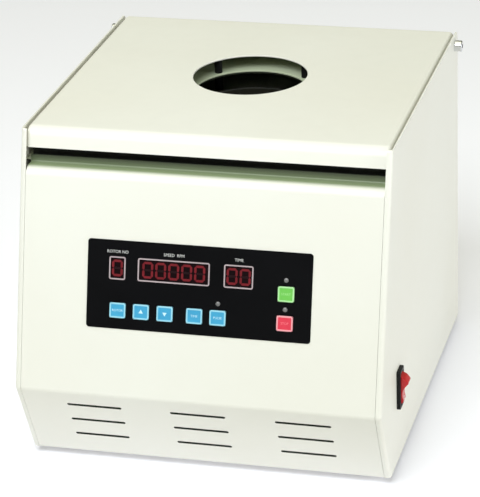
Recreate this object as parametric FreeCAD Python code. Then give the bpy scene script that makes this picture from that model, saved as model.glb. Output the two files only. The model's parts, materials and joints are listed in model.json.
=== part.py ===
import FreeCAD, Part
import math
import os

V = FreeCAD.Vector

# Bench-top laboratory centrifuge. Millimetres. +X right, +Y to the rear, +Z up.
# The origin is on the table, under the middle of the case.

# Case
HALF_WIDTH = 180.0
REAR_Y = 204.0
FOLD_Y = -208.0
FOLD_Z = 92.0
TOE_Y = -168.0
CASE_BOTTOM = 8.0
TOP_Z = 333.0
LEAN = 16.3
SHEET = 1.5
PANEL_EDGE = 6.0
SEAM = 0.3
EDGE_BEND = 4.5
FOLD_BEND = 6.0
LEDGE_Z = 298.0
LEDGE_BACK_Y = -132.0
LEDGE_BEND = 11.0
UPSTAND_Z = 305.0
DECK_Z = 300.5
BASE_TOP = 10.0

# Lid
LID_HALF_WIDTH = 176.2
LID_FRONT_Y = -137.7
LID_REAR_Y = 203.6
FLANGE_Z = 314.6
LINER_Z = 315.0
PORT_RADIUS = 57.0
LID_FRONT_BEND = 12.0
LID_REAR_BEND = 8.0
LID_SIDE_BEND = 4.0
HINGE_Y = 186.0
HINGE_Z = 322.0
PIN_RADIUS = 3.0
RUNNING = 0.05
BUSH_RADIUS = 5.0

# Drive train, all on one upright axis
AXIS_Y = 41.0
BOWL_RADIUS = 116.0
BOWL_SHEET = 1.2
BOWL_FLOOR = 176.0
BOWL_FLANGE = 134.0
GUARD_RADIUS = 126.0
GUARD_WALL = 3.5
GUARD_BOTTOM = 184.0
GUARD_TOP = 290.0
DECK_HOLE = 118.0
ROTOR_BOTTOM = 192.0
ROTOR_TOP = 262.0
ROTOR_RADIUS = 102.0
POCKETS = 6
POCKET_RADIUS = 8.75
POCKET_CIRCLE = 52.0
POCKET_DEPTH = 62.0
POCKET_TILT = 30.0
SHAFT_RADIUS = 6.0
MOTOR_RADIUS = 45.0
MOTOR_BOTTOM = 40.0
MOTOR_TOP = 160.0
PLATE_Z = 118.0
PLATE_THICK = 4.0
PLATE_HALF = 82.0
DAMPER_REACH = 68.0
DAMPER_HEIGHT = 22.0

# Control face, measured along the leaning panel: u across, s up from the fold, n outwards
OVERLAY_HALF = 109.5
OVERLAY_S = (66.0, 151.0)
OVERLAY_THICK = 0.5
DISPLAY_S = 124.3
DISPLAY_HEIGHT = 22.0
DISPLAYS = ((-79.9, 16.0), (-24.6, 70.3), (38.6, 28.4))
FRAME_BORDER = 1.2
KEY_WIDTH = 15.7
KEY_HEIGHT = 14.5
KEYS = {
    "key_rotor": (-78.6, 83.8),
    "key_up": (-55.5, 83.8),
    "key_down": (-32.1, 83.8),
    "key_time": (-3.2, 83.8),
    "key_pulse": (19.6, 83.8),
    "key_start": (84.8, 111.2),
    "key_stop": (84.4, 83.5),
}
LIGHTS = ((84.5, 124.4), (84.3, 96.6), (19.5, 97.3))
LIGHT_RADIUS = 2.2
BOARD_FACE = -12.4
BOARD_THICK = 1.6
SUPPLY_FACE = 23.6
STANDOFFS = ((-101.0, 72.0), (0.0, 72.0), (101.0, 72.0), (-101.0, 145.0), (0.0, 145.0), (101.0, 145.0))

# Vent slots in the lower face, measured down from the fold
SLOT_COLUMNS = (-103.0, 0.0, 103.0)
SLOT_ROWS = (18.3, 41.2, 64.3)
SLOT_LENGTH = 54.5
SLOT_HEIGHT = 3.2

# Power rocker on the right side
SWITCH_Y = -126.0
SWITCH_Z = 85.0
BEZEL_HALF_Y = 9.5
BEZEL_HALF_Z = 20.0
BEZEL_THICK = 3.8
WELL_HALF_Y = 6.4
WELL_HALF_Z = 17.2
ROCKER_PIVOT_X = 177.0
ROCKER_TILT = 14.0

# Lid lock
LOCK_Y = -105.0
BOLT_Z = 290.0
BOLT_RADIUS = 2.5
EYE_RADIUS = 4.0
EYE_WALL = 2.2
BOLT_TIP_X = -4.0

# Rear panel fittings
FAN_X = -90.0
FAN_Z = 80.0
FAN_HALF = 40.0
FAN_DEPTH = 25.0
FAN_BORE = 38.0
FAN_HOLE_HALF = 35.75
INLET_X = 100.0
INLET_Z = 60.0
FUSE_X = 146.0
FEET = ((-150.0, -138.0), (150.0, -138.0), (-150.0, 178.0), (150.0, 178.0))
FOOT_RADIUS = 14.0


# Shapes that several pieces use

def box(x, y, z):
    return Part.makeBox(x[1] - x[0], y[1] - y[0], z[1] - z[0], V(x[0], y[0], z[0]))


def rod(radius, start, end):
    start = V(*start)
    way = V(*end) - start
    return Part.makeCylinder(radius, way.Length, start, way)


def tube(outer, inner, start, end):
    return rod(outer, start, end).cut(rod(inner, start, end))


def join(shapes):
    first = shapes[0]
    return first.fuse(shapes[1:]).removeSplitter() if len(shapes) > 1 else first


def rounded_face(corners, place):
    """Face with corners (a, b, radius); place turns (a, b) into a point in space."""
    arcs = []
    for i, (a, b, radius) in enumerate(corners):
        here = V(a, b, 0)
        back = (V(corners[i - 1][0], corners[i - 1][1], 0) - here).normalize()
        ahead = corners[(i + 1) % len(corners)]
        on = (V(ahead[0], ahead[1], 0) - here).normalize()
        half = back.getAngle(on) / 2
        reach = radius / math.tan(half)
        middle = here + (back + on).normalize() * (radius / math.sin(half) - radius)
        arcs.append((here + back * reach, middle, here + on * reach, radius))
    edges = []
    for i, (start, middle, end, radius) in enumerate(arcs):
        if radius > 0:
            ends = [place(p.x, p.y) for p in (start, middle, end)]
            edges.append(Part.Arc(*ends).toShape())
        following = arcs[(i + 1) % len(arcs)][0]
        if (following - end).Length > 1e-6:
            edges.append(Part.makeLine(place(end.x, end.y), place(following.x, following.y)))
    return Part.Face(Part.Wire(edges))


def side_profile(corners, x):
    """Prism across the case: corners are (y, z, radius), x is (low, high)."""
    face = rounded_face(corners, lambda y, z: V(x[0], y, z))
    return face.extrude(V(x[1] - x[0], 0, 0))


def offset_corners(path, thickness):
    """Corners of a bent strip whose path (a, b, radius) is its outer face, with the metal on its left."""
    inner = []
    for i, (a, b, radius) in enumerate(path):
        here = V(a, b, 0)
        normals = []
        for j in (i - 1, i):
            if 0 <= j < len(path) - 1:
                way = V(path[j + 1][0] - path[j][0], path[j + 1][1] - path[j][1], 0).normalize()
                normals.append(V(-way.y, way.x, 0))
        total = normals[0] + normals[-1]
        moved = here + total * (2 * thickness / total.dot(total))
        turn = normals[0].cross(normals[-1]).z
        bend = radius - math.copysign(thickness, turn) if radius > 0 else 0
        inner.append((moved.x, moved.y, bend))
    return list(path) + inner[::-1]


def turned(corners):
    """Solid of revolution about the drive axis from corners (r, z, radius)."""
    face = rounded_face(corners, lambda r, z: V(r, AXIS_Y, z))
    return face.revolve(V(0, AXIS_Y, 0), V(0, 0, 1), 360)


def front_y(z):
    return FOLD_Y + (z - FOLD_Z) * math.tan(math.radians(LEAN))


def lid_front_y(z):
    return LID_FRONT_Y + (z - FLANGE_Z) * math.tan(math.radians(LEAN))


def on_control_face(shape):
    """Moves a shape drawn as (u, s, n) onto the leaning control face."""
    placed = shape.copy()
    turn = FreeCAD.Rotation(V(1, 0, 0), 90 - LEAN)
    placed.Placement = FreeCAD.Placement(V(0, FOLD_Y, FOLD_Z), turn)
    return placed


def on_lower_face(shape):
    """Moves a shape drawn as (u, s, n) onto the lower face, with s up to 0 at the fold."""
    placed = shape.copy()
    slant = math.degrees(math.atan2(TOE_Y - FOLD_Y, FOLD_Z - CASE_BOTTOM))
    turn = FreeCAD.Rotation(V(1, 0, 0), 90 + slant)
    placed.Placement = FreeCAD.Placement(V(0, FOLD_Y, FOLD_Z), turn)
    return placed


def rounded_block(centre, size, n, radius):
    """Upright block on (u, s, n) with rounded corners seen from the front."""
    half_u, half_s = size[0] / 2, size[1] / 2
    u, s = centre
    corners = [
        (u - half_u, s - half_s, radius),
        (u + half_u, s - half_s, radius),
        (u + half_u, s + half_s, radius),
        (u - half_u, s + half_s, radius),
    ]
    face = rounded_face(corners, lambda a, b: V(a, b, n[0]))
    return face.extrude(V(0, 0, n[1] - n[0]))


def around(count, first=0.0):
    return [math.radians(first + 360.0 * i / count) for i in range(count)]


# Case

def side_panel(sign):
    """Flat side with its leaning and slanted front edges turned inwards."""
    top_front = front_y(TOP_Z)
    outer = [
        (REAR_Y, CASE_BOTTOM, 0),
        (REAR_Y, TOP_Z, 0),
        (top_front, TOP_Z, 0),
        (FOLD_Y, FOLD_Z, FOLD_BEND),
        (TOE_Y, CASE_BOTTOM, 0),
    ]
    body = side_profile(outer, (HALF_WIDTH - PANEL_EDGE, HALF_WIDTH))
    body = body.makeFillet(EDGE_BEND, front_edges(body, HALF_WIDTH))
    margin = 10.0
    path = offset_corners(
        [
            (front_y(TOP_Z + margin), TOP_Z + margin, 0),
            (FOLD_Y, FOLD_Z, FOLD_BEND),
            (TOE_Y + margin, CASE_BOTTOM - margin * (FOLD_Z - CASE_BOTTOM) / (TOE_Y - FOLD_Y), 0),
        ],
        SHEET,
    )[3:]
    hollow = side_profile(
        path[::-1] + [(REAR_Y + margin, CASE_BOTTOM - 2 * margin, 0), (REAR_Y + margin, TOP_Z + margin, 0)],
        (HALF_WIDTH - PANEL_EDGE - margin, HALF_WIDTH - SHEET),
    )
    hollow = hollow.makeFillet(EDGE_BEND - SHEET, front_edges(hollow, HALF_WIDTH - SHEET))
    body = body.cut(hollow)
    trim = side_profile(
        [
            (REAR_Y, CASE_BOTTOM, 3),
            (REAR_Y, TOP_Z, 7),
            (top_front, TOP_Z, 4),
            (FOLD_Y - margin, FOLD_Z, 0),
            (TOE_Y - margin, CASE_BOTTOM, 0),
        ],
        (0, HALF_WIDTH + margin),
    )
    body = body.common(trim)
    flange_width = 14
    flange = box(
        (HALF_WIDTH - flange_width, HALF_WIDTH - SHEET),
        (TOE_Y + 20, REAR_Y - 6),
        (BASE_TOP, BASE_TOP + SHEET),
    )
    body = body.fuse(flange)
    pin_hole = rod(PIN_RADIUS, (HALF_WIDTH - 10, HINGE_Y, HINGE_Z), (HALF_WIDTH + 5, HINGE_Y, HINGE_Z))
    body = body.cut(pin_hole)
    if sign < 0:
        return body.mirror(V(0, 0, 0), V(1, 0, 0))
    opening = box(
        (HALF_WIDTH - 5, HALF_WIDTH + 5),
        (SWITCH_Y - BEZEL_HALF_Y + 1, SWITCH_Y + BEZEL_HALF_Y - 1),
        (SWITCH_Z - BEZEL_HALF_Z + 1, SWITCH_Z + BEZEL_HALF_Z - 1),
    )
    return body.cut(opening)


def front_edges(body, x):
    """Edges of a side blank that run down its front at the given x."""
    found = []
    for edge in body.Edges:
        ends = [v.Point for v in edge.Vertexes]
        if any(abs(p.x - x) > 0.01 for p in ends):
            continue
        middle = edge.CenterOfMass
        if middle.y < -100 and edge.BoundBox.ZLength > 1 and edge.BoundBox.YLength < 120:
            found.append(edge)
    return found


def front_panel():
    path = [
        (LEDGE_BACK_Y, UPSTAND_Z, 0),
        (LEDGE_BACK_Y, LEDGE_Z, 2),
        (front_y(LEDGE_Z), LEDGE_Z, LEDGE_BEND),
        (FOLD_Y, FOLD_Z, FOLD_BEND),
        (TOE_Y, CASE_BOTTOM, 3),
        (TOE_Y + 14, CASE_BOTTOM, 0),
    ]
    half = HALF_WIDTH - PANEL_EDGE - SEAM
    body = side_profile(offset_corners(path, SHEET), (-half, half))
    through = (-SHEET - 2, 2)
    cuts = []
    for u, width in DISPLAYS:
        size = (width - 2 * FRAME_BORDER + 0.2, DISPLAY_HEIGHT - 2 * FRAME_BORDER + 0.2)
        cuts.append(on_control_face(rounded_block((u, DISPLAY_S), size, through, 0.8)))
    for centre in KEYS.values():
        size = (KEY_WIDTH + 0.8, KEY_HEIGHT + 0.8)
        cuts.append(on_control_face(rounded_block(centre, size, through, 1.2)))
    for u, s in LIGHTS:
        cuts.append(on_control_face(rod(LIGHT_RADIUS + 0.3, (u, s, through[0]), (u, s, through[1]))))
    for u in SLOT_COLUMNS:
        for down in SLOT_ROWS:
            slot = rounded_block((u, -down), (SLOT_LENGTH, SLOT_HEIGHT), through, SLOT_HEIGHT / 2 - 0.01)
            cuts.append(on_lower_face(slot))
    return body.cut(cuts)


def rear_panel():
    half = HALF_WIDTH - SHEET
    body = box((-half, half), (REAR_Y - SHEET, REAR_Y), (BASE_TOP + SHEET, DECK_Z - SHEET))
    cuts = [
        rod(FAN_BORE - 1, (FAN_X, REAR_Y - 5, FAN_Z), (FAN_X, REAR_Y + 5, FAN_Z)),
        box((INLET_X - 14, INLET_X + 14), (REAR_Y - 5, REAR_Y + 5), (INLET_Z - 10.5, INLET_Z + 10.5)),
        rod(6.1, (FUSE_X, REAR_Y - 5, INLET_Z), (FUSE_X, REAR_Y + 5, INLET_Z)),
    ]
    return body.cut(cuts)


def base_plate():
    half = HALF_WIDTH - SHEET
    body = box((-half, half), (TOE_Y + 14.5, REAR_Y), (CASE_BOTTOM, BASE_TOP))
    return body.cut([rod(2.1, (x, y, CASE_BOTTOM - 1), (x, y, BASE_TOP + 1)) for x, y in FEET])


def top_deck():
    half = HALF_WIDTH - SHEET
    body = box((-half, half), (LEDGE_BACK_Y + SHEET, REAR_Y), (DECK_Z - SHEET, DECK_Z))
    body = body.cut(rod(DECK_HOLE, (0, AXIS_Y, DECK_Z - 5), (0, AXIS_Y, DECK_Z + 5)))
    return body.cut(box((-4, 4), (LOCK_Y - 9, LOCK_Y + 8), (DECK_Z - 5, DECK_Z + 5)))


def recess_seal():
    strip = box((-174, 174), (-124, -116), (DECK_Z, LINER_Z - 0.3))
    upper = [e for e in strip.Edges if e.BoundBox.XLength > 100 and e.CenterOfMass.z > DECK_Z + 5]
    return strip.makeFillet(2, upper)


def rubber_feet():
    feet = []
    for x, y in FEET:
        foot = Part.makeCone(FOOT_RADIUS - 2, FOOT_RADIUS, CASE_BOTTOM, V(x, y, 0))
        foot = foot.cut(rod(4.6, (x, y, -1), (x, y, 3.5)))
        feet.append(foot.cut(rod(2.1, (x, y, 3), (x, y, CASE_BOTTOM + 1))))
    return feet


def case_screws():
    """Foot screws, and the screws that hold the rear panel, fan and mains inlet."""
    screws = []
    for x, y in FEET:
        head = rod(4.2, (x, y, 0.8), (x, y, 3.5)).cut(rod(1.4, (x, y, 0), (x, y, 2.2)))
        screws.append(head.fuse(rod(2, (x, y, 3.5), (x, y, BASE_TOP + 5))))
    places = [(x, z) for x in (-168, 0, 168) for z in (24, 284)]
    places += [(FAN_X + i * FAN_HOLE_HALF, FAN_Z + j * FAN_HOLE_HALF) for i in (-1, 1) for j in (-1, 1)]
    places += [(INLET_X - 20, INLET_Z), (INLET_X + 20, INLET_Z)]
    for x, z in places:
        seat = REAR_Y + 1.5 if abs(z - INLET_Z) < 1 else REAR_Y
        head = Part.makeSphere(6.0, V(x, seat - 3.4, z)).common(
            box((x - 5, x + 5), (seat, seat + 5), (z - 5, z + 5))
        )
        slot_depth = seat + 1.4
        cross = box((x - 2, x + 2), (slot_depth, seat + 5), (z - 0.4, z + 0.4)).fuse(
            box((x - 0.4, x + 0.4), (slot_depth, seat + 5), (z - 2, z + 2))
        )
        screws.append(head.cut(cross))
    return screws


# Lid

def lid_block(grow, drop):
    """Outer form of the lid, shrunk all round by grow, with its flanges carried down by drop."""
    slope = math.tan(math.radians(LEAN))
    shift = grow / math.cos(math.radians(LEAN))
    top = TOP_Z - grow
    low = FLANGE_Z - drop
    corners = [
        (lid_front_y(low) + shift, low, 0),
        (lid_front_y(TOP_Z) - grow * slope + shift, top, LID_FRONT_BEND - grow),
        (LID_REAR_Y - grow, top, LID_REAR_BEND - grow),
        (LID_REAR_Y - grow, low, 0),
    ]
    half = LID_HALF_WIDTH - grow
    body = side_profile(corners, (-half, half))
    rims = []
    for edge in body.Edges:
        ends = [v.Point for v in edge.Vertexes]
        same_side = all(abs(abs(p.x) - half) < 0.01 for p in ends) and edge.BoundBox.XLength < 0.01
        if same_side and edge.BoundBox.ZMax > low + 0.01:
            rims.append(edge)
    return body.makeFillet(LID_SIDE_BEND - grow, rims)


def lid_shell():
    body = lid_block(0, 0).cut(lid_block(SHEET, 10))
    body = body.cut(rod(PORT_RADIUS, (0, AXIS_Y, LINER_Z), (0, AXIS_Y, TOP_Z + 5)))
    rim = [e for e in body.Edges if abs(e.BoundBox.ZMax - TOP_Z) < 0.01 and e.BoundBox.ZLength < 0.01
           and abs(e.BoundBox.XLength - 2 * PORT_RADIUS) < 0.1]
    body = body.makeFillet(0.6, rim)
    return body.cut(rod(5.2, (-HALF_WIDTH, HINGE_Y, HINGE_Z), (HALF_WIDTH, HINGE_Y, HINGE_Z)))


def lid_liner():
    corners = [
        (-LID_HALF_WIDTH + 1.8, LID_FRONT_Y + 2.2, 3),
        (LID_HALF_WIDTH - 1.8, LID_FRONT_Y + 2.2, 3),
        (LID_HALF_WIDTH - 1.8, LID_REAR_Y - 1.8, 3),
        (-LID_HALF_WIDTH + 1.8, LID_REAR_Y - 1.8, 3),
    ]
    plate = rounded_face(corners, lambda x, y: V(x, y, LINER_Z)).extrude(V(0, 0, SHEET))
    plate = plate.cut(rod(PORT_RADIUS, (0, AXIS_Y, LINER_Z - 5), (0, AXIS_Y, LINER_Z + 5)))
    rim = [e for e in plate.Edges if abs(e.BoundBox.XLength - 2 * PORT_RADIUS) < 0.1
           and e.BoundBox.ZLength < 0.01]
    return plate.makeFillet(0.4, rim)


def lid_spacers():
    low, high = LINER_Z + SHEET, TOP_Z - SHEET
    spacers = []
    for angle in around(4, 45):
        x, y = 64 * math.cos(angle), AXIS_Y + 64 * math.sin(angle)
        spacers.append(rod(4, (x, y, low), (x, y, high)))
    for x in (-140, 140):
        for y in (-105, 160):
            spacers.append(rod(4, (x, y, low), (x, y, high)))
    return spacers


def lid_window():
    disc = rod(64, (0, AXIS_Y, LINER_Z - 3), (0, AXIS_Y, LINER_Z))
    return disc.makeChamfer(0.3, [e for e in disc.Edges if e.BoundBox.ZLength < 0.01])


def window_ring():
    low = LINER_Z - 5
    return turned([(59, low, 0), (73, low, 1), (73, LINER_Z, 0), (64.2, LINER_Z, 0), (64.2, LINER_Z - 3, 0),
                   (59, LINER_Z - 3, 0)])


def lid_screws():
    screws = []
    for angle in around(6, 30):
        x, y = 68.6 * math.cos(angle), AXIS_Y + 68.6 * math.sin(angle)
        head = rod(2.8, (x, y, LINER_Z - 6.8), (x, y, LINER_Z - 5))
        screws.append(head.cut(rod(1.2, (x, y, LINER_Z - 7), (x, y, LINER_Z - 5.8))))
    return screws


def hinge_brackets():
    """Angle brackets that carry the bushes, one inside each side of the lid."""
    outer_x = LID_HALF_WIDTH - SHEET - 0.2
    low = LINER_Z + SHEET
    span = (HINGE_Y - 11, HINGE_Y + 11)
    parts = []
    for sign in (-1, 1):
        upright = box((outer_x - 3, outer_x), span, (low, TOP_Z - SHEET - 3))
        foot = box((outer_x - 16, outer_x), span, (low, low + 2))
        bush_hole = rod(BUSH_RADIUS, (outer_x - 20, HINGE_Y, HINGE_Z), (outer_x + 5, HINGE_Y, HINGE_Z))
        bracket = upright.fuse(foot).cut(bush_hole)
        parts.append(bracket if sign > 0 else bracket.mirror(V(0, 0, 0), V(1, 0, 0)))
    return parts


def hinge_bushes():
    parts = []
    for sign in (-1, 1):
        start = (sign * (LID_HALF_WIDTH - 7), HINGE_Y, HINGE_Z)
        end = (sign * LID_HALF_WIDTH, HINGE_Y, HINGE_Z)
        parts.append(tube(BUSH_RADIUS, PIN_RADIUS + RUNNING, start, end))
    return parts


def hinge_pins():
    """Round-headed pins through the side panels, with a shoulder that keeps the lid centred."""
    parts = []
    for sign in (-1, 1):
        def at(x):
            return (sign * x, HINGE_Y, HINGE_Z)
        head = rod(5.75, at(HALF_WIDTH), at(HALF_WIDTH + 8))
        rim = [e for e in head.Edges if abs(abs(e.CenterOfMass.x) - HALF_WIDTH - 8) < 0.01]
        head = head.makeFillet(0.9, rim)
        socket = rod(2.2, at(HALF_WIDTH + 5), at(HALF_WIDTH + 9))
        shank = rod(PIN_RADIUS, at(LID_HALF_WIDTH - 8), at(HALF_WIDTH))
        shoulder = rod(6.5, at(LID_HALF_WIDTH + 0.4), at(HALF_WIDTH - SHEET))
        parts.append(join([head.cut(socket), shank, shoulder]))
    return parts


def lid_striker():
    """Steel tongue with an eye for the lock bolt."""
    half = EYE_RADIUS + EYE_WALL
    low = BOLT_Z - EYE_RADIUS - EYE_WALL - 1
    tongue = box((-1.5, 1.5), (LOCK_Y - half, LOCK_Y + half), (low, LINER_Z - 2))
    across = [e for e in tongue.Edges if e.BoundBox.XLength > 1 and e.BoundBox.YLength < 0.01]
    lower = [e for e in across if abs(e.CenterOfMass.z - low) < 0.01]
    tongue = tongue.makeFillet(4, lower)
    tongue = tongue.cut(rod(EYE_RADIUS, (-5, LOCK_Y, BOLT_Z), (5, LOCK_Y, BOLT_Z)))
    foot = box((-12, 12), (LOCK_Y - half, LOCK_Y + half), (LINER_Z - 2, LINER_Z))
    return tongue.fuse(foot)


# Lid lock under the deck

def lock_housing():
    """Solenoid body with a bore for the bolt."""
    body = box((-62, -14), (LOCK_Y - 10, LOCK_Y + 10), (BOLT_Z - 11, DECK_Z - SHEET - 1.2))
    body = body.cut(rod(BOLT_RADIUS + RUNNING, (-40, LOCK_Y, BOLT_Z), (-10, LOCK_Y, BOLT_Z)))
    return body.cut(rod(BOLT_RADIUS + 0.5, (-60, LOCK_Y, BOLT_Z), (-40, LOCK_Y, BOLT_Z)))


def lock_bracket():
    """Plate under the deck that carries the solenoid and takes the far end of the bolt."""
    top = DECK_Z - SHEET
    plate = box((-62, 16), (LOCK_Y - 10, LOCK_Y + 10), (top - 1.2, top))
    plate = plate.cut(box((-4, 4), (LOCK_Y - 9, LOCK_Y + 8), (top - 5, top + 1)))
    ear = box((6, 8), (LOCK_Y - 6, LOCK_Y + 6), (BOLT_Z - 6, top - 1.2))
    ear = ear.cut(rod(BOLT_RADIUS + 0.4, (0, LOCK_Y, BOLT_Z), (12, LOCK_Y, BOLT_Z)))
    return plate.fuse(ear)


def lock_bolt():
    bolt = rod(BOLT_RADIUS, (BOLT_TIP_X - 38, LOCK_Y, BOLT_Z), (BOLT_TIP_X, LOCK_Y, BOLT_Z))
    return bolt.makeChamfer(0.6, [e for e in bolt.Edges if e.BoundBox.XLength < 0.01])


# Chamber and drive

def chamber_bowl():
    path = [
        (BOWL_FLANGE, DECK_Z - SHEET, 0),
        (BOWL_RADIUS, DECK_Z - SHEET, 4),
        (BOWL_RADIUS, BOWL_FLOOR, 12),
        (34, BOWL_FLOOR, 0),
    ]
    return turned(offset_corners(path, BOWL_SHEET))


def chamber_gasket():
    top = LINER_Z - 0.3
    return turned([(120, DECK_Z, 0.5), (130, DECK_Z, 0.5), (130, DECK_Z + 3, 1), (127.5, DECK_Z + 5, 1),
                   (127.5, top, 2.5), (121.5, top, 2.5), (121.5, DECK_Z + 5, 0)])


def shaft_boot():
    """Rubber sleeve between the bowl floor and the top of the motor."""
    floor = BOWL_FLOOR - BOWL_SHEET
    return turned([(12, MOTOR_TOP, 0), (20, MOTOR_TOP, 0), (20, 166, 2), (42, 171, 1), (42, floor, 0),
                   (33.5, floor, 0), (33.5, BOWL_FLOOR + 3, 0.5), (30, BOWL_FLOOR + 3, 0.5), (12, 170, 2)])


def guard_ring():
    """Heavy steel ring round the bowl, which would stop a broken rotor."""
    return tube(GUARD_RADIUS, GUARD_RADIUS - GUARD_WALL, (0, AXIS_Y, GUARD_BOTTOM), (0, AXIS_Y, GUARD_TOP))


def frame_posts():
    """Columns under the guard ring and under the motor plate."""
    posts = []
    middle = GUARD_RADIUS - GUARD_WALL / 2
    for angle in around(4, 45):
        x, y = middle * math.cos(angle), AXIS_Y + middle * math.sin(angle)
        posts.append(rod(5, (x, y, BASE_TOP), (x, y, GUARD_BOTTOM)))
    for x, y in damper_places():
        posts.append(rod(7, (x, y, BASE_TOP), (x, y, PLATE_Z - DAMPER_HEIGHT)))
    return posts


def damper_places():
    return [(i * DAMPER_REACH, AXIS_Y + j * DAMPER_REACH) for i in (-1, 1) for j in (-1, 1)]


def motor_dampers():
    parts = []
    for x, y in damper_places():
        bush = rod(11, (x, y, PLATE_Z - DAMPER_HEIGHT), (x, y, PLATE_Z))
        groove = tube(14, 8.5, (x, y, PLATE_Z - 14), (x, y, PLATE_Z - 8))
        parts.append(bush.cut(groove))
    return parts


def motor_plate():
    corner_radius = 12
    corners = [
        (-PLATE_HALF, AXIS_Y - PLATE_HALF, corner_radius),
        (PLATE_HALF, AXIS_Y - PLATE_HALF, corner_radius),
        (PLATE_HALF, AXIS_Y + PLATE_HALF, corner_radius),
        (-PLATE_HALF, AXIS_Y + PLATE_HALF, corner_radius),
    ]
    plate = rounded_face(corners, lambda x, y: V(x, y, PLATE_Z)).extrude(V(0, 0, PLATE_THICK))
    return plate.cut(rod(MOTOR_RADIUS + 0.5, (0, AXIS_Y, PLATE_Z - 5), (0, AXIS_Y, PLATE_Z + 10)))


def motor_housing():
    inner = MOTOR_RADIUS - 5
    seat = PLATE_Z + PLATE_THICK
    outer = turned([
        (0, MOTOR_BOTTOM, 0),
        (MOTOR_RADIUS, MOTOR_BOTTOM, 3),
        (MOTOR_RADIUS, seat, 0),
        (MOTOR_RADIUS + 10, seat, 0),
        (MOTOR_RADIUS + 10, seat + 5, 0),
        (MOTOR_RADIUS, seat + 5, 0),
        (MOTOR_RADIUS, MOTOR_TOP, 3),
        (0, MOTOR_TOP, 0),
    ])
    hollow = rod(inner, (0, AXIS_Y, MOTOR_BOTTOM + 14), (0, AXIS_Y, MOTOR_TOP - 14))
    seats = [
        rod(14, (0, AXIS_Y, MOTOR_BOTTOM + 4), (0, AXIS_Y, MOTOR_BOTTOM + 14)),
        rod(14, (0, AXIS_Y, MOTOR_TOP - 14), (0, AXIS_Y, MOTOR_TOP - 4)),
        rod(SHAFT_RADIUS + 1, (0, AXIS_Y, MOTOR_TOP - 5), (0, AXIS_Y, MOTOR_TOP + 1)),
    ]
    return outer.cut([hollow] + seats)


def motor_bearings():
    inner = SHAFT_RADIUS + RUNNING
    return [
        tube(14, inner, (0, AXIS_Y, MOTOR_BOTTOM + 4), (0, AXIS_Y, MOTOR_BOTTOM + 13)),
        tube(14, inner, (0, AXIS_Y, MOTOR_TOP - 13), (0, AXIS_Y, MOTOR_TOP - 4)),
    ]


def motor_shaft():
    """Shaft with its armature, up to the rotor's nut."""
    shaft = rod(SHAFT_RADIUS, (0, AXIS_Y, MOTOR_BOTTOM + 5), (0, AXIS_Y, ROTOR_TOP + 12))
    armature = rod(34, (0, AXIS_Y, MOTOR_BOTTOM + 20), (0, AXIS_Y, MOTOR_TOP - 20))
    return shaft.fuse(armature)


def pocket_line(angle):
    """Mouth and bottom of one tube pocket's axis."""
    tilt = math.radians(POCKET_TILT)
    out = V(math.cos(angle), math.sin(angle), 0)
    mouth = V(0, AXIS_Y, ROTOR_TOP) + out * POCKET_CIRCLE
    way = out * math.sin(tilt) - V(0, 0, math.cos(tilt))
    return mouth - way * 15, mouth + way * POCKET_DEPTH


def rotor_body():
    rise = math.tan(math.radians(POCKET_TILT + 0.8))
    shoulder = ROTOR_BOTTOM + 13
    top_radius = ROTOR_RADIUS - (ROTOR_TOP - shoulder) * rise
    body = turned([
        (SHAFT_RADIUS, ROTOR_BOTTOM, 0),
        (30, ROTOR_BOTTOM, 0),
        (30, ROTOR_BOTTOM + 4, 2),
        (ROTOR_RADIUS - 4, ROTOR_BOTTOM + 4, 2),
        (ROTOR_RADIUS, ROTOR_BOTTOM + 8, 2),
        (ROTOR_RADIUS, shoulder, 4),
        (top_radius, ROTOR_TOP, 3),
        (36, ROTOR_TOP, 2),
        (30, ROTOR_TOP - 10, 3),
        (20, ROTOR_TOP - 10, 3),
        (20, ROTOR_TOP, 1),
        (SHAFT_RADIUS, ROTOR_TOP, 0),
    ])
    return body.cut([rod(POCKET_RADIUS, *pocket_line(a)) for a in around(POCKETS, 90)])


def rotor_nut():
    low = ROTOR_TOP
    knob = turned([
        (SHAFT_RADIUS, low, 0),
        (17, low, 0.6),
        (17, low + 3, 0.6),
        (13, low + 4, 1),
        (13, low + 17, 1.5),
        (0, low + 17, 0),
        (0, low + 12, 0),
        (SHAFT_RADIUS, low + 12, 0),
    ])
    grooves = []
    for angle in around(16):
        x, y = 13.6 * math.cos(angle), AXIS_Y + 13.6 * math.sin(angle)
        grooves.append(rod(1.2, (x, y, low + 5), (x, y, low + 20)))
    return knob.cut(grooves)


# Control panel

def control_overlay():
    centre = (0, sum(OVERLAY_S) / 2)
    size = (2 * OVERLAY_HALF, OVERLAY_S[1] - OVERLAY_S[0])
    sheet = rounded_block(centre, size, (0, OVERLAY_THICK), 3)
    through = (-1, 2)
    cuts = []
    for u, width in DISPLAYS:
        inner = (width - 2 * FRAME_BORDER + 0.1, DISPLAY_HEIGHT - 2 * FRAME_BORDER + 0.1)
        cuts.append(rounded_block((u, DISPLAY_S), inner, through, 0.8))
    for key in KEYS.values():
        cuts.append(rounded_block(key, (KEY_WIDTH + 0.6, KEY_HEIGHT + 0.6), through, 1.1))
    for u, s in LIGHTS:
        cuts.append(rod(LIGHT_RADIUS + 0.1, (u, s, -1), (u, s, 2)))
    return on_control_face(sheet.cut(cuts))


def display_frames():
    frames = []
    for u, width in DISPLAYS:
        n = (OVERLAY_THICK, OVERLAY_THICK + 0.5)
        outer = rounded_block((u, DISPLAY_S), (width, DISPLAY_HEIGHT), n, 2)
        inner = (width - 2 * FRAME_BORDER, DISPLAY_HEIGHT - 2 * FRAME_BORDER)
        frames.append(on_control_face(outer.cut(rounded_block((u, DISPLAY_S), inner, (0, 3), 0.8))))
    return frames


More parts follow.
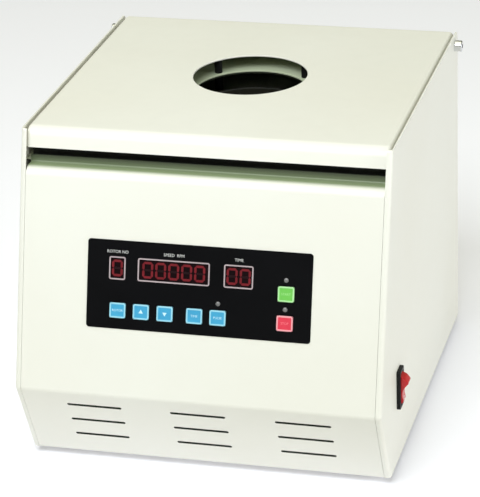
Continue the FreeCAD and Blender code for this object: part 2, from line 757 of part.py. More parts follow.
def display_windows():
    windows = []
    for u, width in DISPLAYS:
        size = (width - 2 * FRAME_BORDER, DISPLAY_HEIGHT - 2 * FRAME_BORDER)
        windows.append(on_control_face(rounded_block((u, DISPLAY_S), size, (-1, OVERLAY_THICK), 0.8)))
    return windows


def display_modules():
    modules = []
    for u, width in DISPLAYS:
        size = (width - 2 * FRAME_BORDER - 0.6, DISPLAY_HEIGHT - 2 * FRAME_BORDER)
        modules.append(on_control_face(rounded_block((u, DISPLAY_S), size, (BOARD_FACE, -3), 0.3)))
    return modules


def panel_board():
    """Circuit board with a press switch behind each key."""
    middle = (OVERLAY_S[0] + OVERLAY_S[1]) / 2
    board = rounded_block((0, middle), (210, 81), (BOARD_FACE - BOARD_THICK, BOARD_FACE), 2)
    parts = [board]
    for u, s in KEYS.values():
        parts.append(rounded_block((u, s), (6, 6), (BOARD_FACE, BOARD_FACE + 2.6), 0.4))
        parts.append(rod(1.6, (u, s, BOARD_FACE + 2.6), (u, s, BOARD_FACE + 3.2)))
    return on_control_face(join(parts))


def board_standoffs():
    """Posts under both circuit boards."""
    posts = [on_control_face(rod(3, (u, s, BOARD_FACE), (u, s, -SHEET))) for u, s in STANDOFFS]
    for x in (-146, -56):
        for y in (-132, -64):
            posts.append(rod(3, (x, y, BASE_TOP), (x, y, 22)))
    return posts


def indicator_lights():
    lights = []
    for u, s in LIGHTS:
        stem = rod(LIGHT_RADIUS, (u, s, BOARD_FACE), (u, s, 0.6))
        dome = Part.makeSphere(3.2, V(u, s, -1.7)).common(rod(LIGHT_RADIUS, (u, s, 0.5), (u, s, 3)))
        lights.append(on_control_face(stem.fuse(dome)))
    return lights


def key_cap(centre):
    """Key with a raised cap, a collar behind the panel and a stem over its switch."""
    u, s = centre
    cap = rounded_block(centre, (KEY_WIDTH, KEY_HEIGHT), (-2.4, 1.4), 1.0)
    cap = cap.makeFillet(0.4, [e for e in cap.Edges if e.BoundBox.ZLength < 0.01 and e.BoundBox.ZMax > 1])
    collar = rounded_block(centre, (KEY_WIDTH + 2.4, KEY_HEIGHT + 2.4), (-3.6, -2.4), 1.5)
    stem = rod(2, (u, s, -8.2), (u, s, -3.6))
    return on_control_face(join([cap, collar, stem]))


# Power rocker

def rocker_place(shape):
    """Turns a rocker part drawn as (outwards, across, up) about its own pivot into its resting tilt."""
    placed = shape.copy()
    turn = FreeCAD.Rotation(V(0, 1, 0), ROCKER_TILT)
    placed.Placement = FreeCAD.Placement(V(ROCKER_PIVOT_X, SWITCH_Y, SWITCH_Z), turn)
    return placed


def power_rocker():
    half = WELL_HALF_Y - 0.4
    corners = [
        (7, 0, 14),
        (12.2, 10.8, 2),
        (7.2, 14.8, 5),
        (0, 16.2, 3),
        (-4, 6, 2),
        (-4, -6, 2),
        (0, -16.2, 3),
        (7.2, -14.8, 5),
        (12.2, -10.8, 2),
    ]
    face = rounded_face(corners, lambda out, up: V(out, -half, up))
    body = face.extrude(V(0, 2 * half, 0))
    return rocker_place(body.fuse(rod(1.5, (0, -half - 1.2, 0), (0, half + 1.2, 0))))


def switch_housing():
    """Black bezel and switch body with a well for the rocker."""
    bezel = box(
        (HALF_WIDTH, HALF_WIDTH + BEZEL_THICK),
        (SWITCH_Y - BEZEL_HALF_Y, SWITCH_Y + BEZEL_HALF_Y),
        (SWITCH_Z - BEZEL_HALF_Z, SWITCH_Z + BEZEL_HALF_Z),
    )
    outer = [e for e in bezel.Edges if e.BoundBox.XLength > 1]
    bezel = bezel.makeFillet(2, outer)
    bezel = bezel.makeFillet(0.8, [e for e in bezel.Edges if e.BoundBox.XMin > HALF_WIDTH + BEZEL_THICK - 0.1])
    body = box(
        (HALF_WIDTH - 26, HALF_WIDTH),
        (SWITCH_Y - BEZEL_HALF_Y + 1.2, SWITCH_Y + BEZEL_HALF_Y - 1.2),
        (SWITCH_Z - BEZEL_HALF_Z + 1.2, SWITCH_Z + BEZEL_HALF_Z - 1.2),
    )
    well = box(
        (ROCKER_PIVOT_X - 8, HALF_WIDTH + 5),
        (SWITCH_Y - WELL_HALF_Y, SWITCH_Y + WELL_HALF_Y),
        (SWITCH_Z - WELL_HALF_Z, SWITCH_Z + WELL_HALF_Z),
    )
    reach = WELL_HALF_Y + 1.2
    pivot = rod(
        1.5 + RUNNING,
        (ROCKER_PIVOT_X, SWITCH_Y - reach, SWITCH_Z),
        (ROCKER_PIVOT_X, SWITCH_Y + reach, SWITCH_Z),
    )
    tabs = []
    for side in (-1, 1):
        for row in (-1, 0, 1):
            z = SWITCH_Z + row * 9
            y = SWITCH_Y + side * 6
            tabs.append(box((HALF_WIDTH - 36, HALF_WIDTH - 26), (y - 0.4, y + 0.4), (z - 3, z + 3)))
    return join([bezel, body] + tabs).cut([well, pivot])


# Rear fittings

def mains_inlet():
    """Inlet for a mains lead: flange, body, a recess and three blades."""
    flange = rounded_flange((INLET_X, INLET_Z), (50, 23), (REAR_Y, REAR_Y + 1.5), 4)
    body = inlet_block(13.8, 10.3, REAR_Y - 22, REAR_Y)
    recess = inlet_block(12.2, 8.2, REAR_Y - 14.5, REAR_Y + 5)
    shell = flange.fuse(body).cut(recess)
    blades = []
    for x, z in ((-7, -2), (0, 1.5), (7, -2)):
        blades.append(
            box(
                (INLET_X + x - 1, INLET_X + x + 1),
                (REAR_Y - 16, REAR_Y),
                (INLET_Z + z - 2, INLET_Z + z + 2),
            )
        )
    return join([shell] + blades)


def inlet_block(half_x, half_z, start_y, end_y):
    return box((INLET_X - half_x, INLET_X + half_x), (start_y, end_y), (INLET_Z - half_z, INLET_Z + half_z))


def rounded_flange(centre, size, y, radius):
    """Upright plate on the rear panel with rounded corners; centre and size are (x, z)."""
    half_x, half_z = size[0] / 2, size[1] / 2
    x, z = centre
    corners = [
        (x - half_x, z - half_z, radius),
        (x + half_x, z - half_z, radius),
        (x + half_x, z + half_z, radius),
        (x - half_x, z + half_z, radius),
    ]
    return rounded_face(corners, lambda a, b: V(a, y[0], b)).extrude(V(0, y[1] - y[0], 0))


def fuse_holder():
    def at(y):
        return (FUSE_X, REAR_Y + y, INLET_Z)
    parts = [rod(8, at(0), at(1.2)), rod(6.5, at(1.2), at(4)), rod(6, at(-30), at(0))]
    slot = box((FUSE_X - 4, FUSE_X + 4), (REAR_Y + 2.8, REAR_Y + 5), (INLET_Z - 0.6, INLET_Z + 0.6))
    return join(parts).cut(slot)


def fan_frame():
    inner = REAR_Y - SHEET
    y = (inner - FAN_DEPTH, inner)
    body = rounded_flange((FAN_X, FAN_Z), (2 * FAN_HALF, 2 * FAN_HALF), y, 4)
    body = body.cut(rod(FAN_BORE, (FAN_X, y[0] - 1, FAN_Z), (FAN_X, y[1] + 1, FAN_Z)))
    for i in (-1, 1):
        for j in (-1, 1):
            x, z = FAN_X + i * FAN_HOLE_HALF, FAN_Z + j * FAN_HOLE_HALF
            body = body.cut(rod(2.15, (x, y[0] - 1, z), (x, y[1] + 1, z)))
    hub = rod(16, (FAN_X, y[0], FAN_Z), (FAN_X, y[0] + 3, FAN_Z))
    axle = rod(2, (FAN_X, y[0] + 3, FAN_Z), (FAN_X, y[0] + 17, FAN_Z))
    struts = []
    for angle in around(3, 90):
        strut = box((14, FAN_BORE + 1), (y[0], y[0] + 3), (-2.5, 2.5))
        strut.rotate(V(0, 0, 0), V(0, 1, 0), math.degrees(angle))
        strut.translate(V(FAN_X, 0, FAN_Z))
        struts.append(strut)
    return join([body, hub, axle] + struts)


def fan_rotor():
    start = REAR_Y - SHEET - FAN_DEPTH + 4
    end = REAR_Y - SHEET - 3
    hub = rod(16, (FAN_X, start, FAN_Z), (FAN_X, end, FAN_Z))
    hub = hub.makeFillet(2, [e for e in hub.Edges if abs(e.CenterOfMass.y - end) < 0.01])
    reach = tube(FAN_BORE - 1.2, 14, (FAN_X, start, FAN_Z), (FAN_X, end - 1, FAN_Z))
    middle = (start + end) / 2
    blades = []
    for angle in around(7):
        blade = box((13, FAN_BORE + 2), (-14, 14), (-0.7, 0.7))
        blade.rotate(V(0, 0, 0), V(1, 0, 0), 38)
        blade.rotate(V(0, 0, 0), V(0, 1, 0), math.degrees(angle))
        blade.translate(V(FAN_X, middle, FAN_Z))
        blades.append(blade.common(reach))
    bore = rod(2 + RUNNING, (FAN_X, start - 1, FAN_Z), (FAN_X, start + 16, FAN_Z))
    return join([hub] + blades).cut(bore)


def fan_guard():
    y = REAR_Y + 2.2
    wires = []
    for radius in (10, 19, 28, 37):
        wires.append(Part.makeTorus(radius, 0.8, V(FAN_X, y, FAN_Z), V(0, 1, 0)))
    for angle in around(4, 45):
        out = V(math.cos(angle), 0, math.sin(angle))
        start = V(FAN_X, y + 1.0, FAN_Z) + out * 9
        end = V(FAN_X, y + 1.0, FAN_Z) + out * 44
        wires.append(Part.makeCylinder(0.8, 35, start, out))
        eye = V(FAN_X, REAR_Y + 0.8, FAN_Z) + out * (FAN_HOLE_HALF * math.sqrt(2))
        wires.append(Part.makeTorus(6.2, 0.8, eye, V(0, 1, 0)))
        wires.append(Part.makeCylinder(0.8, 2.4, end - V(0, 2.4, 0), V(0, 1, 0)))
    return join(wires)


# Power electronics on the base

def power_board():
    """Supply board with its capacitors and a choke."""
    board = box((-152, -50), (-138, -58), (SUPPLY_FACE - BOARD_THICK, SUPPLY_FACE))
    parts = [board]
    for x, radius, height in ((-136, 11, 36), (-110, 11, 36), (-84, 8, 25), (-64, 6, 18)):
        parts.append(rod(radius, (x, -122, SUPPLY_FACE), (x, -122, SUPPLY_FACE + height)))
    parts.append(box((-148, -124), (-100, -72), (SUPPLY_FACE, 44)))
    return join(parts)


def heat_sink():
    plate = box((-116, -56), (-78, -74), (SUPPLY_FACE, 60))
    fins = [box((x, x + 1.6), (-92, -78), (SUPPLY_FACE, 60)) for x in range(-116, -56, 6)]
    return join([plate] + fins)


def transformer():
    """Laminated core with two coils, screwed to the base."""
    core = box((66, 136), (-128, -100), (BASE_TOP + 2, BASE_TOP + 60))
    windows = [box((x, x + 14), (-140, -90), (BASE_TOP + 13, BASE_TOP + 49)) for x in (80, 108)]
    coil = box((81, 121), (-138, -90), (BASE_TOP + 14, BASE_TOP + 48))
    coil = coil.makeFillet(6, [e for e in coil.Edges if e.BoundBox.ZLength > 10])
    foot = box((58, 144), (-128, -100), (BASE_TOP, BASE_TOP + 2))
    return join([core.cut(windows), coil, foot])


def make_parts():
    parts = {
        "left_side_panel": side_panel(-1),
        "right_side_panel": side_panel(1),
        "front_panel": front_panel(),
        "rear_panel": rear_panel(),
        "base_plate": base_plate(),
        "top_deck": top_deck(),
        "recess_seal": recess_seal(),
        "rubber_feet": rubber_feet(),
        "case_screws": case_screws(),
        "lid_shell": lid_shell(),
        "lid_liner": lid_liner(),
        "lid_spacers": lid_spacers(),
        "lid_window": lid_window(),
        "window_ring": window_ring(),
        "lid_screws": lid_screws(),
        "hinge_brackets": hinge_brackets(),
        "hinge_bushes": hinge_bushes(),
        "hinge_pins": hinge_pins(),
        "lid_striker": lid_striker(),
        "lock_housing": lock_housing(),
        "lock_bracket": lock_bracket(),
        "lock_bolt": lock_bolt(),
        "chamber_bowl": chamber_bowl(),
        "chamber_gasket": chamber_gasket(),
        "shaft_boot": shaft_boot(),
        "guard_ring": guard_ring(),
        "frame_posts": frame_posts(),
        "motor_dampers": motor_dampers(),
        "motor_plate": motor_plate(),
        "motor_housing": motor_housing(),
        "motor_bearings": motor_bearings(),
        "motor_shaft": motor_shaft(),
        "rotor_body": rotor_body(),
        "rotor_nut": rotor_nut(),
        "control_overlay": control_overlay(),
        "display_frames": display_frames(),
        "display_windows": display_windows(),
        "display_modules": display_modules(),
        "panel_board": panel_board(),
        "board_standoffs": board_standoffs(),
        "indicator_lights": indicator_lights(),
        "power_rocker": power_rocker(),
        "switch_housing": switch_housing(),
        "mains_inlet": mains_inlet(),
        "fuse_holder": fuse_holder(),
        "fan_frame": fan_frame(),
        "fan_rotor": fan_rotor(),
        "fan_guard": fan_guard(),
        "power_board": power_board(),
        "heat_sink": heat_sink(),
        "transformer": transformer(),
    }
    for name, centre in KEYS.items():
        parts[name] = key_cap(centre)
    return parts


os.makedirs("parts", exist_ok=True)
for name, made in make_parts().items():
    shape = Part.makeCompound(made) if isinstance(made, list) else made
    shape.exportStep("parts/" + name + ".step")
    print(name, len(shape.Solids), "valid" if shape.isValid() else "NOT VALID", round(shape.Volume))
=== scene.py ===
import json
import math

import bmesh
import bpy
from mathutils import Matrix, Vector


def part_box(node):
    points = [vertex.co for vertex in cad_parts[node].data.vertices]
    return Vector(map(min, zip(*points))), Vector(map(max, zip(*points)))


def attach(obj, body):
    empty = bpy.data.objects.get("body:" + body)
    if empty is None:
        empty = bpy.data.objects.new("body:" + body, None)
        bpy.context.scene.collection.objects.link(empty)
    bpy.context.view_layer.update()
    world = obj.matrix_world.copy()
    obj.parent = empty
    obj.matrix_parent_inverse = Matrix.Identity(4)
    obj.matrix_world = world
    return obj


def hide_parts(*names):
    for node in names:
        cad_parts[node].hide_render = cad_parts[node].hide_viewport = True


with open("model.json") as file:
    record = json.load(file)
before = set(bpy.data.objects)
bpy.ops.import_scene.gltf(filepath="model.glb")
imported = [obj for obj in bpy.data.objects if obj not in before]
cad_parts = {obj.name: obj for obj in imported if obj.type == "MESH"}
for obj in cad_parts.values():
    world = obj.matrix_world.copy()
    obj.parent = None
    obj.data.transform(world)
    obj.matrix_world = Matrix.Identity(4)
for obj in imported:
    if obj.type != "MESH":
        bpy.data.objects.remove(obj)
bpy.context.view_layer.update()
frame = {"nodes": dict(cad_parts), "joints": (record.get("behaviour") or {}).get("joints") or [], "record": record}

# Bench-top laboratory centrifuge, in metres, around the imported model.
MM = 0.001
PANEL_LEAN = math.radians(16.3)
OVERLAY_THICK = 0.5 * MM
ROCKER_TILT = math.radians(14)
DIGIT_PITCH = 12.7 * MM
PRINT_SINK = 0.02 * MM
NODES = frame["nodes"]
SLOTS = {part["node"]: part["material_slot"] for part in frame["record"]["subparts"]}
SCENE = bpy.context.scene


# Shapes

def bevel(bm, edges, width, segments):
    bmesh.ops.bevel(
        bm, geom=edges, offset=width, offset_type="OFFSET", segments=segments,
        profile=0.5, affect="EDGES", clamp_overlap=True, material=-1,
    )


def block(size, corner, edge, corner_steps=5, edge_steps=2):
    """Block on z = 0 with rounded upright corners and an eased top rim."""
    bm = bmesh.new()
    bmesh.ops.create_cube(bm, size=1)
    bmesh.ops.scale(bm, vec=size, verts=bm.verts)
    bmesh.ops.translate(bm, vec=(0, 0, size[2] / 2), verts=bm.verts)
    upright = [e for e in bm.edges if abs(e.verts[0].co.z - e.verts[1].co.z) > size[2] / 2]
    bevel(bm, upright, corner, corner_steps)
    if edge:
        rim = [e for e in bm.edges if all(v.co.z > size[2] * 0.999 for v in e.verts)]
        bevel(bm, rim, edge, edge_steps)
    return bm


def top_faces(bm):
    """The faces that look straight up, above z = 0."""
    return [f for f in bm.faces if f.normal.z > 0.999 and f.calc_center_median().z > 0]


def sink(bm, faces, width, depth, material=None):
    """Insets a face region and pushes its middle down by depth."""
    bmesh.ops.recalc_face_normals(bm, faces=bm.faces)
    bmesh.ops.inset_region(bm, faces=faces, thickness=width, depth=-depth, use_even_offset=True)
    if material is not None:
        for face in faces:
            face.material_index = material
    return faces


def turned(profile, closed=False, steps=64):
    """Round shape about the z axis from (radius, height) points."""
    bm = bmesh.new()
    points = [bm.verts.new((radius, 0, height)) for radius, height in profile]
    pairs = list(zip(points, points[1:]))
    if closed:
        pairs.append((points[-1], points[0]))
    edges = [bm.edges.new(pair) for pair in pairs]
    bmesh.ops.spin(
        bm, geom=points + edges, cent=(0, 0, 0), axis=(0, 0, 1), dvec=(0, 0, 0),
        angle=math.tau, steps=steps, use_merge=True, use_duplicate=False,
    )
    bmesh.ops.remove_doubles(bm, verts=bm.verts, dist=1e-7)
    bmesh.ops.recalc_face_normals(bm, faces=bm.faces)
    return bm


def together(placed):
    """One mesh from (bmesh, matrix) pairs."""
    whole = bmesh.new()
    for part, place in placed:
        mesh = bpy.data.meshes.new("part")
        part.to_mesh(mesh)
        mesh.transform(place)
        whole.from_mesh(mesh)
        bpy.data.meshes.remove(mesh)
        part.free()
    bmesh.ops.recalc_face_normals(whole, faces=whole.faces)
    return whole


def show(name, mesh, body, finishes, replaced=(), sharp=35):
    """Puts a finished mesh into the scene as a piece that rides on a body."""
    for finish in finishes:
        mesh.materials.append(finish)
    mesh.shade_smooth()
    mesh.set_sharp_from_angle(angle=math.radians(sharp))
    piece = bpy.data.objects.new(name, mesh)
    SCENE.collection.objects.link(piece)
    even = piece.modifiers.new("even normals", "WEIGHTED_NORMAL")
    even.keep_sharp = True
    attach(piece, body)
    if replaced:
        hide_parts(*replaced)
    return piece


def piece_from(name, bm, place, body, finishes, replaced=(), sharp=35):
    """Makes a bmesh a piece, with its place in its mesh."""
    mesh = bpy.data.meshes.new(name)
    bm.to_mesh(mesh)
    bm.free()
    mesh.transform(place)
    return show(name, mesh, body, finishes, replaced, sharp)


def words_mesh(words, height, thickness):
    """Flat lettering as a mesh, centred on the origin."""
    capital_share = 0.73
    curve = bpy.data.curves.new("words", "FONT")
    curve.body = words
    curve.size = height / capital_share
    curve.align_x = "CENTER"
    curve.align_y = "CENTER"
    curve.extrude = thickness / 2
    curve.resolution_u = 4
    holder = bpy.data.objects.new("words", curve)
    SCENE.collection.objects.link(holder)
    bpy.context.view_layer.update()
    shown = holder.evaluated_get(bpy.context.evaluated_depsgraph_get())
    mesh = bpy.data.meshes.new_from_object(shown)
    bpy.data.objects.remove(holder)
    bm = bmesh.new()
    bm.from_mesh(mesh)
    bpy.data.meshes.remove(mesh)
    bmesh.ops.remove_doubles(bm, verts=bm.verts, dist=1e-7)
    return bm


# Places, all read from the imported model

def shift(x, y, z):
    return Matrix.Translation((x, y, z))


def islands(node):
    """The separate solids of a CAD node, each as its list of points."""
    bm = bmesh.new()
    bm.from_mesh(NODES[node].data)
    bmesh.ops.remove_doubles(bm, verts=bm.verts, dist=1e-6)
    left = set(bm.verts)
    found = []
    while left:
        reach = [left.pop()]
        for vert in reach:
            for edge in vert.link_edges:
                other = edge.other_vert(vert)
                if other in left:
                    left.remove(other)
                    reach.append(other)
        found.append([v.co.copy() for v in reach])
    bm.free()
    return found


def box_of(points, place=None):
    """The lowest and highest corner of some points, in the axes of a place."""
    back = place.inverted() if place else Matrix.Identity(4)
    moved = [back @ p for p in points]
    low = Vector([min(p[i] for p in moved) for i in range(3)])
    high = Vector([max(p[i] for p in moved) for i in range(3)])
    return low, high


overlay_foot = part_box("control_overlay")[0]
panel_y = overlay_foot.y + OVERLAY_THICK * math.cos(PANEL_LEAN)
PANEL = Matrix((
    (1, 0, 0, 0),
    (0, math.sin(PANEL_LEAN), -math.cos(PANEL_LEAN), panel_y),
    (0, math.cos(PANEL_LEAN), math.sin(PANEL_LEAN), overlay_foot.z),
    (0, 0, 0, 1),
))


def panel_boxes(node):
    """Corners of each solid of a node along the control panel: across, up and outwards."""
    boxes = [box_of(points, PANEL) for points in islands(node)]
    return sorted(boxes, key=lambda corners: corners[0].x)


def on_panel(across, up, out):
    return PANEL @ shift(across, up, out)


# Node groups

def new_group(name, inputs, outputs):
    """A node group, with the sockets that bring its inputs and take its outputs."""
    tree = bpy.data.node_groups.new(name, "ShaderNodeTree")
    for title, kind, value in inputs:
        socket = tree.interface.new_socket(title, in_out="INPUT", socket_type="NodeSocket" + kind)
        socket.default_value = value
    for title, kind in outputs:
        tree.interface.new_socket(title, in_out="OUTPUT", socket_type="NodeSocket" + kind)
    return tree, tree.nodes.new("NodeGroupInput").outputs, tree.nodes.new("NodeGroupOutput").inputs


def add(tree, kind, sockets=None, **settings):
    """A node with its settings, and its sockets set to values or linked."""
    made = tree.nodes.new("ShaderNode" + kind)
    for key, value in settings.items():
        setattr(made, key, value)
    for key, value in (sockets or {}).items():
        socket = made.inputs[key]
        if isinstance(value, bpy.types.NodeSocket):
            tree.links.new(value, socket)
        else:
            socket.default_value = value
    return made


def sums(tree, operation, first, second):
    return add(tree, "Math", {0: first, 1: second}, operation=operation).outputs[0]


def place_of(tree):
    return add(tree, "TexCoord").outputs["Object"]


def blend_colours(tree, share, first, second):
    mix = add(tree, "Mix", {0: share, 6: first, 7: second}, data_type="RGBA")
    return mix.outputs[2]


def coat_grain_group():
    """Orange peel of sprayed or powdered paint, and the fine grain of moulded plastic."""
    tree, given, result = new_group(
        "Coat grain", [("Cells per metre", "Float", 700.0), ("Fine share", "Float", 0.3)],
        [("Height", "Float")])
    where = place_of(tree)
    broad = add(tree, "TexNoise", {"Vector": where, "Scale": given[0], "Detail": 2.0, "Roughness": 0.45})
    finer = sums(tree, "MULTIPLY", given[0], 3.7)
    cells = add(tree, "TexVoronoi", {"Vector": where, "Scale": finer, "Smoothness": 0.6}, feature="SMOOTH_F1")
    speckle = sums(tree, "MULTIPLY", cells.outputs["Distance"], given[1])
    tree.links.new(sums(tree, "ADD", broad.outputs[0], speckle), result[0])
    return tree


def handling_group():
    """Faint wiped and touched areas, from 0 to 1."""
    tree, given, result = new_group(
        "Handling marks", [("Patches per metre", "Float", 9.0)], [("Mask", "Float")])
    patches = add(tree, "TexNoise", {
        "Vector": place_of(tree), "Scale": given[0], "Detail": 5.0, "Roughness": 0.6, "Distortion": 0.8})
    wiped = add(tree, "MapRange", {0: patches.outputs[0], 1: 0.38, 2: 0.68}, interpolation_type="SMOOTHSTEP")
    tree.links.new(wiped.outputs[0], result[0])
    return tree


def drift_group():
    """Slow change between two close tones of one colour."""
    tree, given, result = new_group(
        "Tone drift", [("Colour", "Color", (1, 1, 1, 1)), ("Second colour", "Color", (1, 1, 1, 1)),
                       ("Patches per metre", "Float", 5.0)], [("Colour", "Color")])
    clouds = add(tree, "TexNoise", {"Vector": place_of(tree), "Scale": given[2], "Detail": 3.0})
    share = add(tree, "MapRange", {0: clouds.outputs[0], 1: 0.3, 2: 0.7})
    tree.links.new(blend_colours(tree, share.outputs[0], given[0], given[1]), result[0])
    return tree


def dust_group():
    """Fine dust that settles on faces that look up."""
    tree, given, result = new_group(
        "Settled dust", [("Colour", "Color", (1, 1, 1, 1)), ("Dust colour", "Color", (0.5, 0.5, 0.45, 1)),
                         ("Amount", "Float", 0.1)], [("Colour", "Color"), ("Mask", "Float")])
    coordinates = add(tree, "TexCoord")
    upward = add(tree, "SeparateXYZ", {0: coordinates.outputs["Normal"]}).outputs["Z"]
    facing = add(tree, "MapRange", {0: upward, 1: 0.3, 2: 1.0}).outputs[0]
    patches = add(tree, "TexNoise", {"Vector": coordinates.outputs["Object"], "Scale": 60.0, "Detail": 6.0})
    patchy = add(tree, "MapRange", {0: patches.outputs[0], 1: 0.4, 2: 0.75}).outputs[0]
    mask = sums(tree, "MULTIPLY", sums(tree, "MULTIPLY", facing, patchy), given[2])
    tree.links.new(blend_colours(tree, mask, given[0], given[1]), result[0])
    tree.links.new(mask, result[1])
    return tree


def worn_and_highlighted_edges_group():
    """Outer edges in another colour, found from how far an eased normal leaves the true one: wear through to bare
    metal on anodising, and a painted edge highlight where the colour is a lighter tone of a paint or plastic.
    """
    tree, given, result = new_group(
        "Worn and highlighted edges", [("Colour", "Color", (1, 1, 1, 1)), ("Worn and highlight colour", "Color", (1, 1, 1, 1)),
                         ("Reach", "Float", 0.001), ("Amount", "Float", 0.5)],
        [("Colour", "Color"), ("Mask", "Float")])
    eased = add(tree, "Bevel", {"Radius": given[2]}, samples=4).outputs[0]
    true = add(tree, "NewGeometry").outputs["Normal"]
    agreement = add(tree, "VectorMath", {0: eased, 1: true}, operation="DOT_PRODUCT").outputs["Value"]
    edge = add(tree, "MapRange", {0: agreement, 1: 0.995, 2: 0.85, 3: 0.0, 4: 1.0}).outputs[0]
    breakup = add(tree, "TexNoise", {"Vector": place_of(tree), "Scale": 140.0, "Detail": 4.0}).outputs[0]
    broken = add(tree, "MapRange", {0: breakup, 1: 0.35, 2: 0.6}).outputs[0]
    mask = sums(tree, "MULTIPLY", sums(tree, "MULTIPLY", edge, broken), given[3])
    tree.links.new(blend_colours(tree, mask, given[0], given[1]), result[0])
    tree.links.new(mask, result[1])
    return tree


def turned_group():
    """Lathe marks round an axis that runs through Centre."""
    tree, given, result = new_group(
        "Lathe marks", [("Centre", "Vector", (0.0, 0.0, 0.0)), ("Across", "Vector", (1.0, 1.0, 0.0)),
                        ("Marks per metre", "Float", 1500.0)], [("Height", "Float"), ("Mask", "Float")])
    arm = add(tree, "VectorMath", {0: place_of(tree), 1: given[0]}, operation="SUBTRACT").outputs[0]
    flat = add(tree, "VectorMath", {0: arm, 1: given[1]}, operation="MULTIPLY").outputs[0]
    radius = add(tree, "VectorMath", {0: flat}, operation="LENGTH").outputs["Value"]
    along = add(tree, "VectorMath", {0: arm, 1: (1.0, 1.0, 1.0)}, operation="DOT_PRODUCT").outputs["Value"]
    drawn = add(tree, "CombineXYZ", {0: radius, 1: sums(tree, "MULTIPLY", along, 0.02), 2: 0.0}).outputs[0]
    marks = add(tree, "TexNoise", {"Vector": drawn, "Scale": given[2], "Detail": 3.0, "Roughness": 0.7})
    bands = add(tree, "TexNoise", {"Vector": drawn, "Scale": 160.0, "Detail": 2.0})
    tree.links.new(marks.outputs[0], result[0])
    tree.links.new(bands.outputs[0], result[1])
    return tree


def brushed_group():
    """Fine lines drawn along one direction."""
    tree, given, result = new_group(
        "Brushed lines", [("Squeeze", "Vector", (1.0, 60.0, 60.0)), ("Lines per metre", "Float", 60.0)],
        [("Height", "Float")])
    squeezed = add(tree, "VectorMath", {0: place_of(tree), 1: given[0]}, operation="MULTIPLY").outputs[0]
    lines = add(tree, "TexNoise", {"Vector": squeezed, "Scale": given[1], "Detail": 4.0, "Roughness": 0.7})
    tree.links.new(lines.outputs[0], result[0])
    return tree


def gloss_group():
    """Roughness that changes with handling and a fine mottle."""
    tree, given, result = new_group(
        "Gloss change", [("Base", "Float", 0.4), ("Spread", "Float", 0.1), ("Mask", "Float", 0.0)],
        [("Roughness", "Float")])
    mottle = add(tree, "TexNoise", {"Vector": place_of(tree), "Scale": 45.0, "Detail": 5.0}).outputs[0]
    swing = sums(tree, "MULTIPLY", sums(tree, "SUBTRACT", mottle, 0.5), given[1])
    touched = sums(tree, "MULTIPLY", given[2], sums(tree, "MULTIPLY", given[1], 0.7))
    total = sums(tree, "ADD", given[0], sums(tree, "ADD", swing, touched))
    tree.links.new(add(tree, "Clamp", {0: total, 1: 0.03, 2: 1.0}).outputs[0], result[0])
    return tree


GRAIN = coat_grain_group()
HANDLING = handling_group()
DRIFT = drift_group()
DUST = dust_group()
WORN_AND_HIGHLIGHTED_EDGES = worn_and_highlighted_edges_group()
LATHE = turned_group()
BRUSHED = brushed_group()
GLOSS = gloss_group()


def tone(red, green, blue):
    """Linear colour from everyday 0 to 255 values."""
    def straight(value):
        share = value / 255
        return share / 12.92 if share <= 0.04045 else ((share + 0.055) / 1.055) ** 2.4
    return straight(red), straight(green), straight(blue), 1.0


def grouped(tree, group, sockets):
    """A node group's copy in a tree, with its inputs set to values or linked."""
    made = tree.nodes.new("ShaderNodeGroup")
    made.node_tree = group
    for key, value in sockets.items():
        if isinstance(value, bpy.types.NodeSocket):
            tree.links.new(value, made.inputs[key])
        else:
            made.inputs[key].default_value = value
    return made


def finish(name, colour, second, roughness, spread=0.12, patches=6.0, marks=9.0, grain=None, lathe=None,
           brushed=None, depth=0.00004, dust=0.0, edge_wear_and_highlight=None, **plain):
    """A material: two tones, handling marks, dust, worn edges and painted edge highlights, and bump from grain,
    lathe or brush marks.

    Patches and marks are counted per metre, depth is the bump's in metres, and plain values go straight
    to the shader's own sockets.
    """
    material = bpy.data.materials.new(name)
    material.use_nodes = True
    tree = material.node_tree
    shader = tree.nodes["Principled BSDF"]
    for title, value in plain.items():
        shader.inputs[title.replace("_", " ").title().replace("Ior", "IOR")].default_value = value
    paint = grouped(tree, DRIFT, {
        "Colour": colour, "Second colour": second, "Patches per metre": patches}).outputs[0]
    touch = grouped(tree, HANDLING, {"Patches per metre": marks}).outputs[0]
    if edge_wear_and_highlight:
        edge_tone, reach, amount = edge_wear_and_highlight
        edges = grouped(tree, WORN_AND_HIGHLIGHTED_EDGES, {
            "Colour": paint, "Worn and highlight colour": edge_tone, "Reach": reach, "Amount": amount})
        paint = edges.outputs["Colour"]
    if dust:
        settled = grouped(tree, DUST, {"Colour": paint, "Amount": dust})
        paint = settled.outputs["Colour"]
        touch = sums(tree, "ADD", touch, sums(tree, "MULTIPLY", settled.outputs["Mask"], 2.0))
    gloss = grouped(tree, GLOSS, {"Base": roughness, "Spread": spread, "Mask": touch})
    tree.links.new(paint, shader.inputs["Base Color"])
    tree.links.new(gloss.outputs[0], shader.inputs["Roughness"])
    heights = []
    if grain:
        heights.append(grouped(tree, GRAIN, {"Cells per metre": grain[0], "Fine share": grain[1]}).outputs[0])
    if lathe:
        heights.append(grouped(tree, LATHE, {
            "Centre": lathe[0], "Across": lathe[1], "Marks per metre": lathe[2]}).outputs[0])
    if brushed:
        heights.append(grouped(tree, BRUSHED, {
            "Squeeze": brushed[0], "Lines per metre": brushed[1]}).outputs[0])
    if heights:
        height = heights[0] if len(heights) == 1 else sums(tree, "ADD", heights[0], heights[1])
        bump = add(tree, "Bump", {"Strength": 0.6, "Distance": depth, "Height": height})
        tree.links.new(bump.outputs[0], shader.inputs["Normal"])
    return material


rotor_low, rotor_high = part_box("rotor_body")
AXIS = Vector(((rotor_low.x + rotor_high.x) / 2, (rotor_low.y + rotor_high.y) / 2, 0))
ROUND = (tuple(AXIS), (1.0, 1.0, 0.0))
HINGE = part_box("hinge_pins")
HINGE_AXIS = (0.0, (HINGE[0].y + HINGE[1].y) / 2, (HINGE[0].z + HINGE[1].z) / 2)

